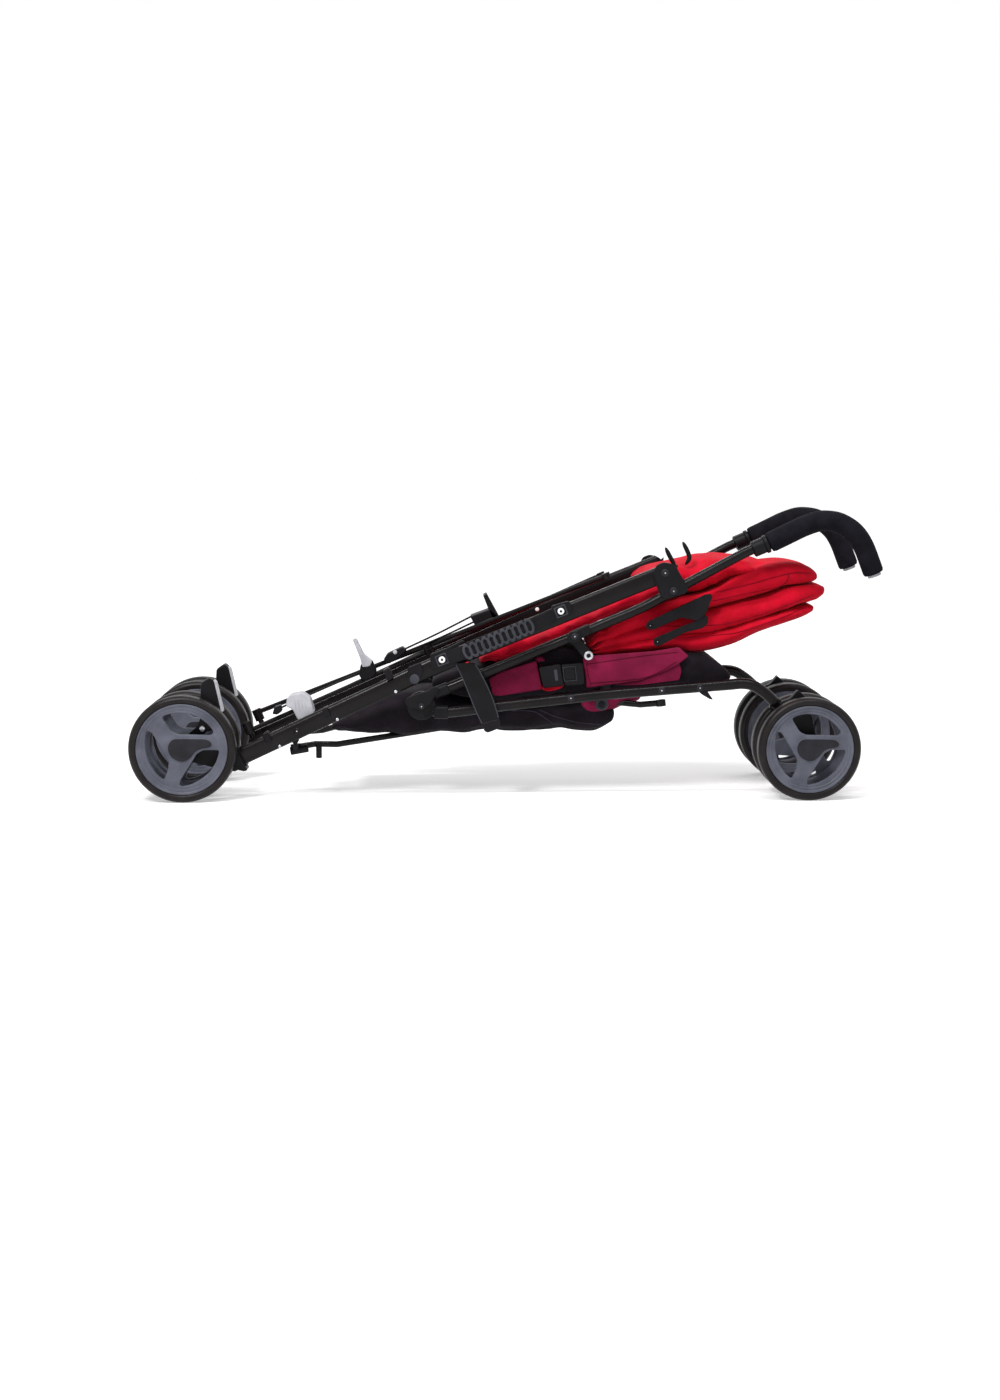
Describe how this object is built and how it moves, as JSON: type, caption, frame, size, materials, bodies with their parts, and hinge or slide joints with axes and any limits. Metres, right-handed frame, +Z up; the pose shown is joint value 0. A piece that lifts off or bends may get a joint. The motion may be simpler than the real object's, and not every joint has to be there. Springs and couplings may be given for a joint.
{
  "type": "pushchair",
  "caption": "Umbrella-fold pushchair, folded: crossed tube frame with hooked foam handles, double wheels, bundled canopy, seat cloth and a carry handle.",
  "frame": {"origin": "centre of the folded chair's box, on the floor under its wheels", "axes": "+X from the rear wheels to the handles, +Y from the side with the carry handle to the other side, +Z up"},
  "size_m": [1.06, 0.276, 0.4065],
  "materials": {
    "black_paint": "satin black powder coat",
    "black_plastic": "matt moulded",
    "grey_plastic": "matt moulded",
    "hub_plastic": "satin moulded",
    "tyre_rubber": "matt rubber",
    "grip_foam": "matt foam",
    "axle_steel": "bright zinc",
    "red_cloth": "woven polyester",
    "maroon_cloth": "woven polyester",
    "basket_cloth": "woven polyester"
  },
  "bodies": {
    "root": {"rear_axle_near": "axle_steel"},
    "rear_leg_near": {"rear_leg_near": "black_paint", "rear_housing_near": "black_plastic", "carry_handle": "black_plastic"},
    "rear_leg_far": {"rear_leg_far": "black_paint", "rear_housing_far": "black_plastic", "rear_axle_far": "axle_steel"},
    "handle_near": {"handle_tube_near": "black_paint", "grip_near": "grip_foam", "grip_collar_near": "grey_plastic", "pivot_bracket_near": "black_plastic", "side_hinge_near": "black_plastic", "canopy_mount_near": "black_plastic", "backrest_cloth": "red_cloth", "seat_cloth": "maroon_cloth", "buckle_tongue": "black_plastic", "buckle_socket": "black_plastic"},
    "handle_far": {"handle_tube_far": "black_paint", "grip_far": "grip_foam", "grip_collar_far": "grey_plastic", "pivot_bracket_far": "black_plastic", "side_hinge_far": "black_plastic", "canopy_mount_far": "black_plastic"},
    "front_leg_near": {"front_leg_near": "black_paint"},
    "front_leg_far": {"front_leg_far": "black_paint"},
    "fork_near": {"front_fork_near": "black_plastic", "front_axle_near": "axle_steel"},
    "fork_far": {"front_fork_far": "black_plastic", "front_axle_far": "axle_steel"},
    "lower_tab_near": {"lower_tab_near": "black_plastic", "basket_cloth": "basket_cloth"},
    "lower_tab_far": {"lower_tab_far": "black_plastic"},
    "canopy_near": {"canopy_cloth": "red_cloth", "canopy_lever_near": "black_plastic"},
    "canopy_far": {"canopy_lever_far": "black_plastic"},
    "rear_outer_wheel_near": {"rear_outer_tyre_near": "tyre_rubber", "rear_outer_hub_near": "hub_plastic"},
    "rear_inner_wheel_near": {"rear_inner_wheel_near": "hub_plastic"},
    "front_outer_wheel_near": {"front_outer_tyre_near": "tyre_rubber", "front_outer_hub_near": "hub_plastic"},
    "front_inner_wheel_near": {"front_inner_wheel_near": "hub_plastic"},
    "brake_pedal_near": {"brake_pedal_near": "grey_plastic"},
    "lower_brace_near": {"lower_brace_near": "black_paint"},
    "back_brace_near": {"back_brace_near": "black_paint"},
    "rear_outer_wheel_far": {"rear_outer_tyre_far": "tyre_rubber", "rear_outer_hub_far": "hub_plastic"},
    "rear_inner_wheel_far": {"rear_inner_wheel_far": "hub_plastic"},
    "front_outer_wheel_far": {"front_outer_tyre_far": "tyre_rubber", "front_outer_hub_far": "hub_plastic"},
    "front_inner_wheel_far": {"front_inner_wheel_far": "hub_plastic"},
    "brake_pedal_far": {"brake_pedal_far": "grey_plastic"},
    "lower_brace_far": {"lower_brace_far": "black_paint"},
    "back_brace_far": {"back_brace_far": "black_paint"},
    "fold_pedal": {"fold_pedal": "grey_plastic"},
    "release_pedal": {"release_pedal": "grey_plastic"},
    "release_foot": {"release_foot": "black_plastic"},
    "storage_latch": {"storage_latch": "black_plastic"},
    "lock_button": {"lock_button": "grey_plastic"},
    "buckle_button": {"buckle_button": "black_plastic"},
    "seat_knob": {"seat_knob": "grey_plastic"}
  },
  "joints": [
    {"name": "fold", "type": "hinge", "parent": "handle_near", "child": "front_leg_near", "pos_m": [-0.12188, -0.096, 0.13152], "axis": [0, 1, 0], "range_deg": [0, 145.13]},
    {"name": "rear_leg_rise", "type": "hinge", "parent": "root", "child": "rear_leg_near", "pos_m": [-0.45502, -0.096, 0.075], "axis": [0, -1, 0], "range_deg": [0, 74.25]},
    {"name": "handle_swing", "type": "hinge", "parent": "rear_leg_near", "child": "handle_near", "pos_m": [0.22053, -0.096, 0.31821], "axis": [0, -1, 0], "range_deg": [0, 27.08]},
    {"name": "rear_leg_spread", "type": "slide", "parent": "rear_leg_near", "child": "rear_leg_far", "axis": [0, 1, 0], "range_m": [0, 0.1705]},
    {"name": "handle_spread", "type": "slide", "parent": "handle_near", "child": "handle_far", "axis": [0, 1, 0], "range_m": [0, 0.1705]},
    {"name": "front_leg_spread", "type": "slide", "parent": "front_leg_near", "child": "front_leg_far", "axis": [0, 1, 0], "range_m": [0, 0.1705]},
    {"name": "lower_tab_turn", "type": "hinge", "parent": "rear_leg_near", "child": "lower_tab_near", "pos_m": [-0.29783, -0.096, 0.09715], "axis": [0, 1, 0], "range_deg": [0, 74.19]},
    {"name": "lower_tab_spread", "type": "slide", "parent": "lower_tab_near", "child": "lower_tab_far", "axis": [0, 1, 0], "range_m": [0, 0.1705]},
    {"name": "canopy_spread", "type": "slide", "parent": "canopy_near", "child": "canopy_far", "axis": [0, 1, 0], "range_m": [0, 0.1705]},
    {"name": "lower_brace_cross_near", "type": "hinge", "parent": "lower_tab_near", "child": "lower_brace_near", "pos_m": [-0.30083, -0.0835, 0.07115], "axis": [-0.1164, 0, 0.9932], "range_deg": [0, 20.29]},
    {"name": "back_brace_cross_near", "type": "hinge", "parent": "rear_leg_near", "child": "back_brace_near", "pos_m": [-0.36761, -0.076, 0.09765], "axis": [-0.3843, 0, 0.9232], "range_deg": [0, 18.95]},
    {"name": "front_swivel_near", "type": "hinge", "parent": "front_leg_near", "child": "fork_near", "pos_m": [0.42867, -0.096, 0.07941], "axis": [0.6934, 0, -0.7206], "continuous": true},
    {"name": "brake_press_near", "type": "hinge", "parent": "rear_leg_near", "child": "brake_pedal_near", "pos_m": [-0.42902, -0.096, 0.101], "axis": [0, -1, 0], "range_deg": [0, 12]},
    {"name": "rear_outer_wheel_spin_near", "type": "hinge", "parent": "root", "child": "rear_outer_wheel_near", "pos_m": [-0.45502, -0.125, 0.075], "axis": [0, 1, 0], "continuous": true},
    {"name": "front_outer_wheel_spin_near", "type": "hinge", "parent": "fork_near", "child": "front_outer_wheel_near", "pos_m": [0.42142, -0.125, 0.0725], "axis": [0, 1, 0], "continuous": true},
    {"name": "rear_inner_wheel_spin_near", "type": "hinge", "parent": "root", "child": "rear_inner_wheel_near", "pos_m": [-0.45502, -0.067, 0.075], "axis": [0, 1, 0], "continuous": true},
    {"name": "front_inner_wheel_spin_near", "type": "hinge", "parent": "fork_near", "child": "front_inner_wheel_near", "pos_m": [0.42142, -0.067, 0.0725], "axis": [0, 1, 0], "continuous": true},
    {"name": "lower_brace_cross_far", "type": "hinge", "parent": "lower_tab_far", "child": "lower_brace_far", "pos_m": [-0.30083, 0.0835, 0.07115], "axis": [0.1164, 0, -0.9932], "range_deg": [0, 20.29]},
    {"name": "back_brace_cross_far", "type": "hinge", "parent": "rear_leg_far", "child": "back_brace_far", "pos_m": [-0.36761, 0.076, 0.09765], "axis": [0.3843, 0, -0.9232], "range_deg": [0, 18.95]},
    {"name": "front_swivel_far", "type": "hinge", "parent": "front_leg_far", "child": "fork_far", "pos_m": [0.42867, 0.096, 0.07941], "axis": [0.6934, 0, -0.7206], "continuous": true},
    {"name": "brake_press_far", "type": "hinge", "parent": "rear_leg_far", "child": "brake_pedal_far", "pos_m": [-0.42902, 0.096, 0.101], "axis": [0, -1, 0], "range_deg": [0, 12]},
    {"name": "rear_outer_wheel_spin_far", "type": "hinge", "parent": "rear_leg_far", "child": "rear_outer_wheel_far", "pos_m": [-0.45502, 0.125, 0.075], "axis": [0, 1, 0], "continuous": true},
    {"name": "front_outer_wheel_spin_far", "type": "hinge", "parent": "fork_far", "child": "front_outer_wheel_far", "pos_m": [0.42142, 0.125, 0.0725], "axis": [0, 1, 0], "continuous": true},
    {"name": "rear_inner_wheel_spin_far", "type": "hinge", "parent": "rear_leg_far", "child": "rear_inner_wheel_far", "pos_m": [-0.45502, 0.067, 0.075], "axis": [0, 1, 0], "continuous": true},
    {"name": "front_inner_wheel_spin_far", "type": "hinge", "parent": "fork_far", "child": "front_inner_wheel_far", "pos_m": [0.42142, 0.067, 0.0725], "axis": [0, 1, 0], "continuous": true},
    {"name": "canopy_tilt", "type": "hinge", "parent": "handle_near", "child": "canopy_near", "pos_m": [0.11353, -0.096, 0.20138], "axis": [0, -1, 0], "range_deg": [-3, 10]},
    {"name": "fold_pedal_press", "type": "hinge", "parent": "back_brace_near", "child": "fold_pedal", "pos_m": [-0.29863, -0.05472, 0.13231], "axis": [0, -1, 0], "range_deg": [0, 20], "stiffness_Nm_per_rad": 0.3},
    {"name": "release_pedal_press", "type": "hinge", "parent": "back_brace_near", "child": "release_pedal", "pos_m": [-0.21739, -0.0304, 0.16613], "axis": [0, -1, 0], "range_deg": [0, 20], "stiffness_Nm_per_rad": 0.3},
    {"name": "release_foot_press", "type": "hinge", "parent": "back_brace_near", "child": "release_foot", "pos_m": [-0.06514, 0.0152, 0.22973], "axis": [0, -1, 0], "range_deg": [0, 20], "stiffness_Nm_per_rad": 0.3},
    {"name": "latch_swing", "type": "hinge", "parent": "rear_leg_near", "child": "storage_latch", "pos_m": [-0.06636, -0.1, 0.20349], "axis": [0, 1, 0], "range_deg": [0, 30]},
    {"name": "lock_press", "type": "slide", "parent": "rear_leg_near", "child": "lock_button", "axis": [0, 1, 0], "range_m": [0, 0.002], "stiffness_N_per_m": 400},
    {"name": "buckle_press", "type": "slide", "parent": "handle_near", "child": "buckle_button", "axis": [0, 1, 0], "range_m": [0, 0.0018], "stiffness_N_per_m": 400},
    {"name": "knob_turn", "type": "hinge", "parent": "handle_near", "child": "seat_knob", "pos_m": [0.14012, -0.066, 0.14778], "axis": [0, 0, 1], "range_deg": [-40, 40]}
  ],
  "couplings": [
    {"joint": "rear_leg_rise", "follows": "fold", "ratio": 0.51127},
    {"joint": "handle_swing", "follows": "fold", "ratio": 0.18625},
    {"joint": "rear_leg_spread", "follows": "fold", "m_per_rad": 0.067114},
    {"joint": "handle_spread", "follows": "fold", "m_per_rad": 0.067114},
    {"joint": "front_leg_spread", "follows": "fold", "m_per_rad": 0.067114},
    {"joint": "lower_tab_turn", "follows": "fold", "ratio": 0.51085},
    {"joint": "lower_tab_spread", "follows": "fold", "m_per_rad": 0.067114},
    {"joint": "canopy_spread", "follows": "fold", "m_per_rad": 0.067114},
    {"joint": "lower_brace_cross_near", "follows": "fold", "ratio": 0.13946},
    {"joint": "back_brace_cross_near", "follows": "fold", "ratio": 0.13023},
    {"joint": "lower_brace_cross_far", "follows": "fold", "ratio": 0.13946},
    {"joint": "back_brace_cross_far", "follows": "fold", "ratio": 0.13023}
  ]
}
